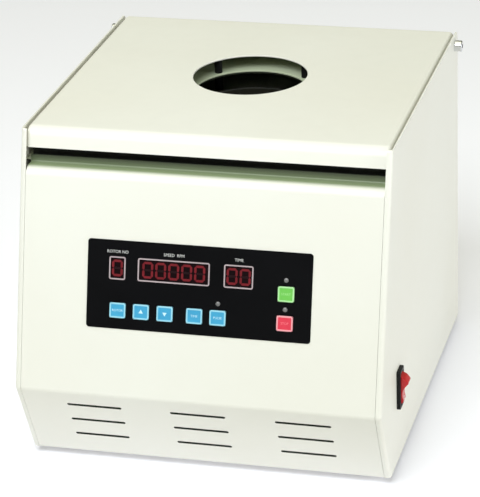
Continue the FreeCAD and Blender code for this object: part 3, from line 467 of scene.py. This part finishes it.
FINISHES = {
    # The case paint's lighter edges are a painted edge highlight.
    "case_paint": finish(
        "case paint", tone(231, 230, 221), tone(228, 226, 215), 0.42, 0.10, 4.0, 6.0,
        grain=(650.0, 0.25), depth=0.00003, edge_wear_and_highlight=(tone(240, 239, 232), 0.0012, 0.45), dust=0.04,
        coat_weight=0.12, coat_roughness=0.3, specular_ior_level=0.4),
    # The liner and deck paints are the ivory case paint made darker and olive: a painted shade for the inside of
    # the lid and the deck under it. The liner's lighter edges are a painted edge highlight.
    "liner_paint": finish(
        "liner paint in painted shade", tone(190, 199, 170), tone(180, 189, 160), 0.45, 0.12, grain=(800.0, 0.3),
        edge_wear_and_highlight=(tone(220, 224, 204), 0.001, 0.5)),
    "deck_paint": finish(
        "deck paint in painted shade", tone(196, 201, 176), tone(186, 192, 166), 0.46, 0.12, grain=(700.0, 0.3), dust=0.12),
    "black_rubber": finish(
        "seal rubber", tone(19, 19, 20), tone(26, 26, 26), 0.62, 0.2, 30.0, 25.0, grain=(2200.0, 0.6),
        depth=0.00008, dust=0.12, specular_ior_level=0.35),
    "zinc_steel": finish(
        "zinc plate", tone(176, 180, 186), tone(160, 160, 160), 0.34, 0.2, 40.0, 30.0, metallic=1.0,
        brushed=((1.0, 14.0, 14.0), 90.0), depth=0.00003),
    "polished_chrome": finish(
        "bright chrome", tone(222, 223, 225), tone(212, 213, 216), 0.10, 0.1, 30.0, 60.0, metallic=1.0,
        lathe=(HINGE_AXIS, (0.0, 1.0, 1.0), 1800.0), depth=0.000004),
    "stainless": finish(
        "bowl steel", tone(196, 198, 200), tone(182, 184, 186), 0.24, 0.16, 8.0, 12.0, metallic=1.0,
        lathe=(*ROUND, 2600.0), depth=0.00002),
    "guard_steel": finish(
        "guard steel", tone(96, 99, 104), tone(84, 84, 88), 0.5, 0.2, 14.0, 14.0, metallic=0.9,
        grain=(420.0, 0.4), depth=0.00006),
    "rotor_aluminium": finish(
        "rotor anodising", tone(74, 78, 84), tone(66, 70, 76), 0.36, 0.14, 14.0, 20.0, metallic=0.85,
        lathe=(*ROUND, 1400.0), depth=0.00004, edge_wear_and_highlight=(tone(186, 188, 190), 0.0008, 0.7)),
    "nut_aluminium": finish(
        "nut aluminium", tone(198, 200, 203), tone(186, 188, 190), 0.26, 0.14, 30.0, 40.0, metallic=1.0,
        lathe=(*ROUND, 2400.0), depth=0.00002),
    "smoked_window": finish(
        "smoked window", tone(52, 53, 52), tone(46, 47, 46), 0.04, 0.04, 10.0, 14.0,
        transmission_weight=1.0, ior=1.1, specular_ior_level=0.12),
    "overlay_black": finish(
        "overlay film", tone(10, 10, 13), tone(7, 7, 9), 0.42, 0.14, 14.0, 12.0, grain=(1600.0, 0.5),
        depth=0.00003, specular_ior_level=0.07),
    "frame_grey": finish(
        "display bezel", tone(184, 168, 172), tone(170, 156, 160), 0.38, 0.14, 60.0, 40.0,
        grain=(1800.0, 0.4), depth=0.00003),
    "display_red": finish(
        "display filter", tone(26, 12, 16), tone(21, 9, 13), 0.16, 0.1, 40.0, 25.0,
        specular_ior_level=0.12),
    "module_black": finish(
        "display module", tone(34, 34, 36), tone(28, 28, 30), 0.5, 0.15, 40.0, 30.0, grain=(1500.0, 0.5)),
    "board_green": finish(
        "circuit board", tone(38, 96, 58), tone(30, 82, 50), 0.36, 0.16, 80.0, 50.0,
        brushed=((30.0, 1.0, 1.0), 60.0), coat_weight=0.4),
    "key_blue": finish(
        "blue key", tone(66, 166, 208), tone(58, 154, 198), 0.34, 0.12, 60.0, 60.0, grain=(1700.0, 0.4),
        depth=0.00003),
    "key_green": finish(
        "green key", tone(112, 196, 84), tone(104, 186, 78), 0.34, 0.12, 60.0, 60.0, grain=(1700.0, 0.4),
        depth=0.00003),
    "key_red": finish(
        "red key", tone(224, 58, 80), tone(214, 52, 74), 0.34, 0.12, 60.0, 60.0, grain=(1700.0, 0.4),
        depth=0.00003),
    "light_lens": finish(
        "lamp lens", tone(120, 118, 118), tone(104, 104, 104), 0.2, 0.1, 200.0, 100.0,
        coat_weight=0.2, coat_roughness=0.1),
    "rocker_red": finish(
        "rocker red", tone(204, 20, 30), tone(190, 15, 24), 0.28, 0.12, 60.0, 60.0, grain=(1500.0, 0.4),
        depth=0.00003, coat_weight=0.2, coat_roughness=0.15),
    # The switch's lighter edges are partly wear and partly a painted edge highlight.
    "switch_black": finish(
        "switch black", tone(13, 13, 14), tone(9, 9, 10), 0.42, 0.16, 60.0, 50.0, grain=(1300.0, 0.5),
        depth=0.00004, edge_wear_and_highlight=(tone(34, 34, 34), 0.0006, 0.4), specular_ior_level=0.25),
    "motor_paint": finish(
        "motor enamel", tone(58, 62, 68), tone(50, 53, 58), 0.4, 0.18, 14.0, 12.0, grain=(380.0, 0.4),
        depth=0.00008, dust=0.2),
    "shaft_steel": finish(
        "ground steel", tone(190, 192, 196), tone(176, 178, 182), 0.2, 0.12, 30.0, 30.0, metallic=1.0,
        lathe=(*ROUND, 3000.0), depth=0.00001),
    "bush_brass": finish(
        "bush brass", tone(196, 160, 88), tone(178, 142, 76), 0.3, 0.16, 60.0, 50.0, metallic=1.0,
        brushed=((1.0, 20.0, 20.0), 90.0), depth=0.00002),
    "fan_plastic": finish(
        "fan plastic", tone(34, 34, 36), tone(28, 28, 30), 0.48, 0.18, 30.0, 24.0, grain=(1100.0, 0.5),
        dust=0.25),
    "sink_aluminium": finish(
        "extruded aluminium", tone(182, 184, 187), tone(170, 172, 175), 0.36, 0.14, 30.0, 30.0, metallic=1.0,
        brushed=((30.0, 30.0, 1.0), 60.0), depth=0.00003),
    "core_steel": finish(
        "laminated core", tone(88, 84, 82), tone(70, 68, 68), 0.5, 0.2, 30.0, 24.0, metallic=0.6,
        brushed=((1.0, 60.0, 1.0), 40.0), depth=0.0001),
}


# Where the painted shade of the recess under the lid runs: olive, then near black.
LEDGE_DROP = 7 * MM
RIM_SETBACK = 15.5 * MM
OLIVE_SHADE_END = 7 * MM
DEEP_SHADE_START = 6 * MM
DEEP_SHADE_END = 26 * MM


def painted_recess_shade():
    """Case paint with painted shade under the lid: it turns olive and then near black along the ledge and up the
    upstand, where the lid shades it.
    """
    material = FINISHES["case_paint"].copy()
    tree = material.node_tree
    shader = tree.nodes["Principled BSDF"]
    coat = shader.inputs["Base Color"].links[0].from_socket
    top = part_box("front_panel")[1]
    spot = add(tree, "SeparateXYZ", {0: place_of(tree)}).outputs
    inward = sums(tree, "SUBTRACT", spot["Y"], top.y - RIM_SETBACK)
    rise = sums(tree, "MAXIMUM", sums(tree, "SUBTRACT", spot["Z"], top.z - LEDGE_DROP), 0.0)
    along = sums(tree, "ADD", inward, rise)
    olive = (0.0, OLIVE_SHADE_END, tone(142, 157, 118))
    dark = (DEEP_SHADE_START, DEEP_SHADE_END, tone(18, 20, 17))
    for start, end, shade in (olive, dark):
        share = add(tree, "MapRange", {0: along, 1: start, 2: end}, interpolation_type="SMOOTHSTEP")
        coat = blend_colours(tree, share.outputs[0], coat, shade)
    tree.links.new(coat, shader.inputs["Base Color"])
    return material


for node, slot in SLOTS.items():
    for place in NODES[node].material_slots:
        place.material = FINISHES[slot]


def tinted(name, colour, second, roughness=0.4):
    return finish(name, colour, second, roughness, 0.12, 60.0, 60.0, grain=(1800.0, 0.4), depth=0.00002)


PRINT_WHITE = tinted("printed white", tone(214, 214, 212), tone(204, 204, 202))
DIGIT_RED = finish(
    "lit segment", tone(120, 34, 42), tone(106, 29, 36), 0.3, 0.1, 90.0, 60.0,
    specular_ior_level=0.15)
DIGIT_DARK = finish(
    "dark segment", tone(34, 14, 19), tone(31, 12, 17), 0.3, 0.1, 90.0, 60.0,
    specular_ior_level=0.15)
RIMS = {
    "key_blue": tinted("blue key rim", tone(156, 216, 234), tone(146, 206, 226)),
    "key_green": tinted("green key rim", tone(178, 230, 164), tone(166, 220, 152)),
    "key_red": tinted("red key rim", tone(240, 166, 172), tone(232, 154, 162)),
}
MARKS = {
    "key_blue": tinted("blue key print", tone(206, 240, 250), tone(196, 232, 244)),
    "key_green": tinted("green key print", tone(168, 226, 146), tone(160, 218, 138)),
    "key_red": tinted("red key print", tone(244, 130, 142), tone(238, 120, 132)),
}


# Case and lid: cut edges of the sheet metal eased

SLOT_BAND = (30 * MM, 80 * MM)
SLOT_REACH = 140 * MM
# Dark olive on the walls of the vent slots: a painted shade for the dark inside of the slots.
SLOT_WALL_SHADE = tinted("slot wall painted shade", tone(66, 72, 60), tone(54, 60, 49), 0.6)


def in_vent_slot(face):
    """Whether a face of the front panel is a wall of one of its vent slots."""
    spot = face.calc_center_median()
    low, high = SLOT_BAND
    return low < spot.z < high and abs(spot.x) < SLOT_REACH and abs(face.normal.y) < 0.6


def eased(node, body, width, coats=None):
    """A CAD sheet with its cut edges eased. A second coat, if there is one, goes on its vent slots' walls, as
    painted shade.
    """
    bm = bmesh.new()
    bm.from_mesh(NODES[node].data)
    bmesh.ops.remove_doubles(bm, verts=bm.verts, dist=1e-6)
    bmesh.ops.dissolve_limit(bm, angle_limit=math.radians(0.5), verts=bm.verts, edges=bm.edges)
    sharp = [e for e in bm.edges if len(e.link_faces) == 2 and e.calc_face_angle() > math.radians(30)]
    bevel(bm, sharp, width, 2)
    if coats:
        for face in filter(in_vent_slot, bm.faces):
            face.material_index = 1
    slot = SLOTS[node]
    finishes = coats or [FINISHES[slot]]
    return piece_from(node + "_eased", bm, Matrix.Identity(4), body, finishes, [node], sharp=25)


for node in ("left_side_panel", "right_side_panel", "rear_panel"):
    eased(node, "cabinet", 0.15 * MM)
# The front panel's first coat carries the painted shade of the recess under the lid.
eased("front_panel", "cabinet", 0.15 * MM, [painted_recess_shade(), SLOT_WALL_SHADE])
eased("lid_shell", "lid", 0.3 * MM)
eased("lid_liner", "lid", 0.25 * MM)


# Feet

def feet():
    """Moulded rubber feet with two grooves and a recess for the screw."""
    placed = []
    for points in islands("rubber_feet"):
        low, high = box_of(points)
        radius, height = (high.x - low.x) / 2, high.z - low.z
        base = radius - 2 * MM
        profile = [
            (2.1 * MM, height), (2.1 * MM, 3.2 * MM), (4.6 * MM, 3.2 * MM), (4.6 * MM, 0),
            (base - 0.6 * MM, 0), (base, 0.5 * MM), (base + 0.5 * MM, 2.2 * MM),
            (base - 0.1 * MM, 2.6 * MM), (base - 0.1 * MM, 3.2 * MM), (base + 0.9 * MM, 3.6 * MM),
            (base + 1.2 * MM, 5.2 * MM), (base + 0.5 * MM, 5.6 * MM), (base + 0.5 * MM, 6.2 * MM),
            (radius - 0.2 * MM, 6.6 * MM), (radius, 7.0 * MM), (radius - 0.1 * MM, height),
        ]
        home = shift((low.x + high.x) / 2, (low.y + high.y) / 2, low.z)
        placed.append((turned(profile, closed=True), home))
    return together(placed)


piece_from("foot_pads", feet(), Matrix.Identity(4), "cabinet",
           [FINISHES["black_rubber"]], ["rubber_feet"])


# Keys

COLLAR = 2.4 * MM
COLLAR_THICK = 1.2 * MM
CAP_HEIGHT = 3.8 * MM
RIM_WIDTH = 1.0 * MM
FIELD_DEPTH = 0.3 * MM
STEM_RADIUS = 2 * MM
STEM_LENGTH = 4.6 * MM


def key_shape(size):
    """Cap with a raised rim round a sunken field, a collar behind the panel and a stem.

    The first finish is the field's and the second is the cap's.
    """
    cap = block((size.x - COLLAR, size.y - COLLAR, CAP_HEIGHT), 1.9 * MM, 0.35 * MM, 6, 3)
    for face in cap.faces:
        face.material_index = 1
    field = top_faces(cap)
    sink(cap, field, RIM_WIDTH, 0)
    sink(cap, field, 0.2 * MM, FIELD_DEPTH, 0)
    collar = block((size.x, size.y, COLLAR_THICK), 1.5 * MM, 0)
    stem_side = [(0, 0), (STEM_RADIUS, 0), (STEM_RADIUS, STEM_LENGTH), (0, STEM_LENGTH)]
    cap_foot = size.z - CAP_HEIGHT
    return together([
        (cap, shift(0, 0, cap_foot)),
        (collar, shift(0, 0, cap_foot - COLLAR_THICK)),
        (turned(stem_side, steps=24), shift(0, 0, cap_foot - COLLAR_THICK - STEM_LENGTH)),
    ])


def arrow(direction):
    """Flat triangle that points up or down."""
    radius, thickness = 2.5 * MM, 0.1 * MM
    bm = bmesh.new()
    bmesh.ops.create_cone(
        bm, cap_ends=True, segments=3, radius1=radius, radius2=radius, depth=thickness)
    bmesh.ops.rotate(bm, verts=bm.verts, cent=(0, 0, 0), matrix=Matrix.Rotation(direction, 3, "Z"))
    bmesh.ops.translate(bm, verts=bm.verts, vec=(0, 0, thickness / 2))
    return bm


KEY_SIGNS = {
    "key_rotor": "ROTOR", "key_up": 0.0, "key_down": math.pi, "key_time": "TIME", "key_pulse": "PULSE",
    "key_start": "START", "key_stop": "STOP",
}

for node, sign in KEY_SIGNS.items():
    low, high = panel_boxes(node)[0]
    middle = (low + high) / 2
    slot = SLOTS[node]
    place = on_panel(middle.x, middle.y, low.z)
    piece_from(node + "_cap", key_shape(high - low), place, node, [FINISHES[slot], RIMS[slot]], [node])
    printed = words_mesh(sign, 2.3 * MM, 0.06 * MM) if isinstance(sign, str) else arrow(sign)
    printed_place = on_panel(middle.x, middle.y, high.z - FIELD_DEPTH + 0.03 * MM)
    piece_from(node + "_sign", printed, printed_place, node, [MARKS[slot]])


# Displays

SEGMENT = 2.2 * MM
SEGMENT_GAP = 0.25 * MM
SEGMENT_THICK = 0.06 * MM
DIGIT_HALF = (4.25 * MM, 6.8 * MM)


def segments(lit):
    """Bars with pointed ends of one figure: the six lit ones of a zero, or the dark one in its middle."""
    across, up = DIGIT_HALF
    level = [(0, up), (0, -up)] if lit else [(0, 0)]
    upright = [(side * across, half * up / 2) for side in (-1, 1) for half in (-1, 1)] if lit else []
    quarter = Matrix.Rotation(math.pi / 2, 4, "Z")
    placed = []
    for spots, length, turn in ((level, 2 * across, Matrix.Identity(4)), (upright, up, quarter)):
        for x, y in spots:
            bar = block((length - SEGMENT_GAP, SEGMENT, SEGMENT_THICK), SEGMENT * 0.49, 0, 1)
            placed.append((bar, shift(x, y, 0) @ turn))
    return placed


def figures(windows, lit):
    """All figures of the displays: as many as fit each window at the usual pitch."""
    placed = []
    for low, high in windows:
        count = max(1, int((high.x - low.x) / DIGIT_PITCH))
        for i in range(count):
            x = (low.x + high.x) / 2 + (i - (count - 1) / 2) * DIGIT_PITCH
            home = on_panel(x, (low.y + high.y) / 2, high.z - PRINT_SINK)
            placed += [(bar, home @ spot) for bar, spot in segments(lit)]
    return together(placed)


WINDOWS = panel_boxes("display_windows")
for title, lit, colour in (("digits_lit", True, DIGIT_RED), ("digits_dark", False, DIGIT_DARK)):
    piece_from(title, figures(WINDOWS, lit), Matrix.Identity(4), "cabinet", [colour])


# Lettering on the overlay

LABEL_RISE = 4.6 * MM
labels = []
for (low, high), words in zip(panel_boxes("display_frames"), ("ROTOR NO", "SPEED  RPM", "TIME")):
    place = on_panel((low.x + high.x) / 2, high.y + LABEL_RISE, OVERLAY_THICK - 0.01 * MM)
    labels.append((words_mesh(words, 2.9 * MM, 0.08 * MM), place))
piece_from("overlay_labels", together(labels), Matrix.Identity(4), "cabinet", [PRINT_WHITE])


# Power rocker

HOLLOW_OUT = 7
NOSE_OUT = 12.2
NOSE_UP = 10.8
SIGN_UP = 8
SIGN_THICK = 0.12 * MM


def rocker_shape(half_width):
    """Rocker drawn as (out, across, up): a hollow front between two raised ends, with eased edges."""
    bm = bmesh.new()
    upper = [(NOSE_OUT, NOSE_UP), (7.2, 14.8), (0, 16.2), (-4, 6)]
    outline = [(HOLLOW_OUT, 0)] + upper + [(out, -up) for out, up in reversed(upper)]
    face = bm.faces.new([bm.verts.new((out * MM, -half_width, up * MM)) for out, up in outline])
    grown = bmesh.ops.extrude_face_region(bm, geom=[face])
    moved = [v for v in grown["geom"] if isinstance(v, bmesh.types.BMVert)]
    bmesh.ops.translate(bm, vec=(0, 2 * half_width, 0), verts=moved)
    bmesh.ops.recalc_face_normals(bm, faces=bm.faces)
    for out, run, steps in ((HOLLOW_OUT, 6.7, 10), (NOSE_OUT, 1.6, 6), (7.2, 1.2, 4), (0, 2.5, 5)):
        corners = [e for e in bm.edges if all(abs(v.co.x - out * MM) < 1e-6 for v in e.verts)]
        bevel(bm, corners, run * MM, steps)
    rims = [e for e in bm.edges if len(e.link_faces) == 2 and e.calc_face_angle() > math.radians(60)]
    bevel(bm, rims, 0.4 * MM, 2)
    return bm


rocker_low, rocker_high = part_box("power_rocker")
pivot = next(j for j in frame["joints"] if j["name"] == "power_rocker_tilt")["pos_m"]
ROCKER = shift(*pivot) @ Matrix.Rotation(ROCKER_TILT, 4, "Y")
ROCKER_HALF = (rocker_high.y - rocker_low.y) / 2 - 1.2 * MM
piece_from("rocker_cap", rocker_shape(ROCKER_HALF), ROCKER, "power_rocker",
           [FINISHES["rocker_red"]], ["power_rocker"])

OUTWARD = Matrix(((0, 0, 1, 0), (1, 0, 0, 0), (0, 1, 0, 0), (0, 0, 0, 1)))
SLOPE = math.atan2(NOSE_OUT - HOLLOW_OUT, NOSE_UP)
sign_out = (HOLLOW_OUT + SIGN_UP * math.tan(SLOPE)) * MM
bar = block((1.0 * MM, 3.6 * MM, SIGN_THICK), 0.3 * MM, 0)
ring_side = [(1.9 * MM, 0), (1.9 * MM, SIGN_THICK), (1.2 * MM, SIGN_THICK), (1.2 * MM, 0)]
ring = turned(ring_side, closed=True, steps=32)
signs = []
for shape, side in ((bar, 1), (ring, -1)):
    lean = Matrix.Rotation(side * SLOPE, 4, "Y")
    signs.append((shape, shift(sign_out, 0, side * SIGN_UP * MM) @ lean @ OUTWARD))
piece_from("rocker_signs", together(signs), ROCKER, "power_rocker", [PRINT_WHITE])


# Place numbers on the rotor

PLACES = 6
NUMBER_RADIUS = 52 * MM
NUMBER_HEIGHT = 5 * MM
FIRST_NUMBER_TURN = 113

numbers = []
for i in range(PLACES):
    angle = math.radians(FIRST_NUMBER_TURN + 360 / PLACES * i)
    x = AXIS.x + NUMBER_RADIUS * math.cos(angle)
    y = AXIS.y + NUMBER_RADIUS * math.sin(angle)
    home = shift(x, y, rotor_high.z - PRINT_SINK) @ Matrix.Rotation(angle - math.pi / 2, 4, "Z")
    numbers.append((words_mesh(str(i + 1), NUMBER_HEIGHT, 0.08 * MM), home))
piece_from("rotor_numbers", together(numbers), Matrix.Identity(4), "rotor", [PRINT_WHITE])


# Camera

def camera(eye, azimuth, elevation, roll, lens):
    """Camera at a point, looking towards the object from an azimuth and an elevation."""
    a, e, r = math.radians(azimuth), math.radians(elevation), math.radians(roll)
    back = Vector((math.sin(a) * math.cos(e), -math.cos(a) * math.cos(e), math.sin(e)))
    right = Vector((math.cos(a), math.sin(a), 0))
    up = back.cross(right)
    x_axis = right * math.cos(r) + up * math.sin(r)
    y_axis = up * math.cos(r) - right * math.sin(r)
    data = bpy.data.cameras.new("view")
    data.lens = lens
    data.sensor_width = 36
    data.clip_end = 50
    made = bpy.data.objects.new("view", data)
    made.matrix_world = Matrix((
        (x_axis.x, y_axis.x, back.x, eye[0]),
        (x_axis.y, y_axis.y, back.y, eye[1]),
        (x_axis.z, y_axis.z, back.z, eye[2]),
        (0, 0, 0, 1),
    ))
    SCENE.collection.objects.link(made)
    SCENE.camera = made


camera(eye=(0.61017, -2.25634, 1.19660), azimuth=15.284, elevation=23.879, roll=-2.229, lens=183.84)


# Floor and light

FLOOR_HALF = 15
DIM_SHIFT = (0.14, 0.75, 0)
DIM_TURN = (0, 0, -0.19)
DIM_SQUEEZE = (0.9, 2.0, 0)
DIM_RADIUS = 0.74
BRIGHT_RADIUS = 1.0


def floor_finish():
    """Pale paper that glows a little; in an oval in front of the object it is painted dimmer and does not glow, a
    painted shade that lights its lower face less and shades it softly.
    """
    paper = bpy.data.materials.new("pale floor with painted shade")
    paper.use_nodes = True
    tree = paper.node_tree
    shader = tree.nodes["Principled BSDF"]
    shader.inputs["Roughness"].default_value = 0.9
    shader.inputs["Specular IOR Level"].default_value = 0.1
    shader.inputs["Emission Strength"].default_value = 1.0
    middle = add(tree, "Mapping", {
        "Vector": place_of(tree), "Location": DIM_SHIFT, "Rotation": DIM_TURN}).outputs[0]
    squeezed = add(tree, "VectorMath", {0: middle, 1: DIM_SQUEEZE}, operation="MULTIPLY").outputs[0]
    away = add(tree, "VectorMath", {0: squeezed}, operation="LENGTH").outputs["Value"]
    lit = add(tree, "MapRange", {0: away, 1: DIM_RADIUS, 2: BRIGHT_RADIUS}, interpolation_type="SMOOTHSTEP")
    for title, dim, bright in (
            ("Base Color", (0.50, 0.50, 0.44, 1), (0.74, 0.74, 0.78, 1)),
            ("Emission Color", (0.0, 0.0, 0.0, 1), (0.30, 0.30, 0.31, 1))):
        tree.links.new(blend_colours(tree, lit.outputs[0], dim, bright), shader.inputs[title])
    return paper


def floor():
    mesh = bpy.data.meshes.new("floor")
    bm = bmesh.new()
    bmesh.ops.create_grid(bm, x_segments=1, y_segments=1, size=FLOOR_HALF)
    bm.to_mesh(mesh)
    bm.free()
    mesh.materials.append(floor_finish())
    ground = bpy.data.objects.new("floor", mesh)
    SCENE.collection.objects.link(ground)


def sky(colour, strength):
    world = bpy.data.worlds.new("studio")
    SCENE.world = world
    world.use_nodes = True
    background = world.node_tree.nodes["Background"]
    background.inputs["Color"].default_value = colour
    background.inputs["Strength"].default_value = strength


def lamp(name, place, aim, size, power, colour):
    """Rectangular area lamp that shines from a place on a point above the origin."""
    data = bpy.data.lights.new(name, "AREA")
    data.shape = "RECTANGLE"
    data.size, data.size_y = size
    data.energy = power
    data.color = colour
    made = bpy.data.objects.new(name, data)
    made.location = place
    made.rotation_euler = (Vector((0, 0, aim)) - Vector(place)).to_track_quat("-Z", "Y").to_euler()
    SCENE.collection.objects.link(made)


floor()
sky(colour=(0.97, 1.0, 0.72, 1), strength=0.25)
lamp("overhead", (-0.3, 0.3, 2.4), aim=0.2, size=(1.6, 1.6), power=12, colour=(1.0, 0.965, 0.78))
lamp("front", (-0.3, -1.9, 2.42), aim=0.15, size=(2.2, 1.4), power=84, colour=(0.91, 0.95, 1.0))
lamp("side", (2.9, -0.5, 0.75), aim=0.15, size=(1.4, 1.2), power=34, colour=(0.94, 0.965, 1.0))
SCENE.view_settings.view_transform = "Standard"
